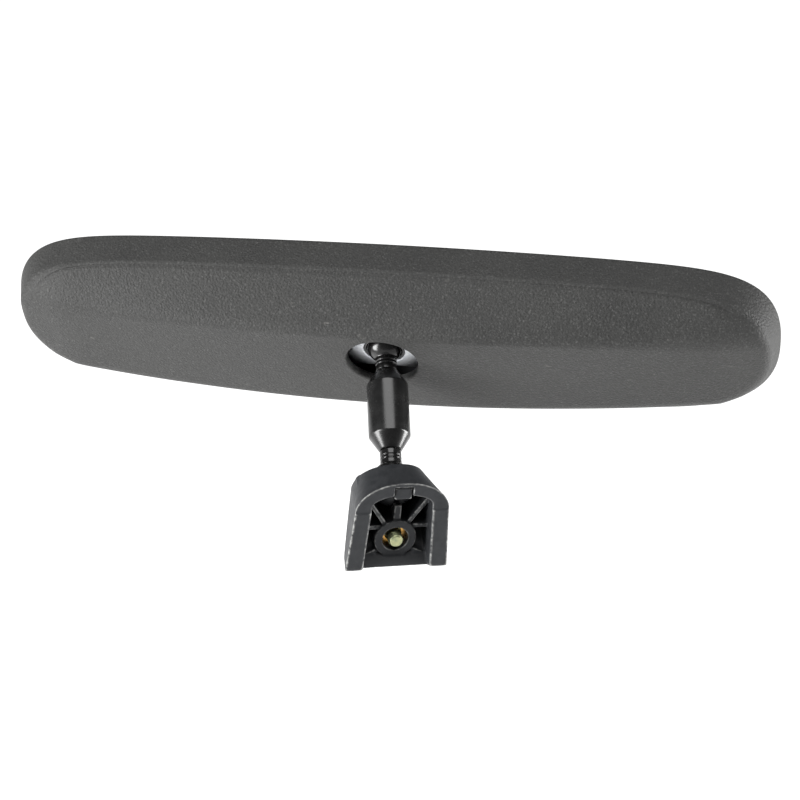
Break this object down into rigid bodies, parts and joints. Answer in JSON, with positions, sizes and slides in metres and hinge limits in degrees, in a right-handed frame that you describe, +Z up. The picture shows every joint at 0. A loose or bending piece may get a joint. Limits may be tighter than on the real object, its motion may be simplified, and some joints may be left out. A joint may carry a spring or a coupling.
{
  "type": "interior rearview mirror",
  "caption": "Wide interior rearview mirror head on a short arm with a ball joint at each end and a U-shaped screw-on base.",
  "frame": {"origin": "on the mounting screw's axis, in the plane of the base's mounting face", "axes": "+Y is the mounting face's outward normal, towards what the base is screwed to; +Z runs up the base towards the arm's end; the glass faces the -Y side"},
  "size_m": [0.2312, 0.1146, 0.0898],
  "materials": {
    "grained_plastic": "fine leather-like grain, dark grey",
    "base_plastic": "smooth matte moulding, dark grey",
    "liner_plastic": "satin black, low friction",
    "black_metal": "semi-gloss black",
    "bracket_steel": "plated steel pressing",
    "yellow_zinc": "yellow passivated zinc on steel",
    "clear_glass": "polished flat glass",
    "silver": "mirror silvering",
    "film": "anti-scatter film",
    "foam": "closed-cell foam strip"
  },
  "bodies": {
    "base": {"base_cover": "base_plastic", "base_socket_cup": "base_plastic", "mount_screw": "yellow_zinc", "screw_washer": "yellow_zinc"},
    "lower_ring": {"lower_liner_outer": "liner_plastic"},
    "lower_seat": {"lower_liner_inner": "liner_plastic"},
    "arm": {"lower_ball_stud": "black_metal", "arm_sleeve": "black_metal", "upper_ball_stud": "black_metal"},
    "upper_ring": {"upper_liner_outer": "liner_plastic"},
    "upper_seat": {"upper_liner_inner": "liner_plastic"},
    "head": {"housing": "grained_plastic", "mirror_glass": "clear_glass", "silver_coating": "silver", "backing_film": "film", "foam_gasket": "foam", "socket_bracket": "bracket_steel", "socket_cup": "bracket_steel", "clamp_screw_1": "bracket_steel", "clamp_screw_2": "bracket_steel", "clamp_spring_1": "bracket_steel", "clamp_spring_2": "bracket_steel", "bracket_screw_1": "bracket_steel", "bracket_screw_2": "bracket_steel"}
  },
  "joints": [
    {"name": "arm_tilt", "type": "hinge", "parent": "base", "child": "lower_ring", "pos_m": [0, -0.015, 0.015], "axis": [1, 0, 0], "range_deg": [-15, 15]},
    {"name": "arm_swivel", "type": "hinge", "parent": "lower_ring", "child": "lower_seat", "pos_m": [0, -0.015, 0.015], "axis": [0, 0.5878, 0.809], "range_deg": [-12, 18]},
    {"name": "arm_spin", "type": "hinge", "parent": "lower_seat", "child": "arm", "pos_m": [0, -0.015, 0.015], "axis": [-0.0916, -0.8038, 0.5878], "range_deg": [-20, 20]},
    {"name": "head_tilt", "type": "hinge", "parent": "arm", "child": "upper_ring", "pos_m": [-0.0043, -0.05278, 0.04263], "axis": [0.9143, -0.3896, -0.1107], "range_deg": [-18, 18]},
    {"name": "head_swivel", "type": "hinge", "parent": "upper_ring", "child": "upper_seat", "pos_m": [-0.0043, -0.05278, 0.04263], "axis": [0.2852, 0.4251, 0.859], "range_deg": [-18, 18]},
    {"name": "head_roll", "type": "hinge", "parent": "upper_seat", "child": "head", "pos_m": [-0.0043, -0.05278, 0.04263], "axis": [0.2876, 0.817, -0.4998], "range_deg": [-20, 20]}
  ]
}
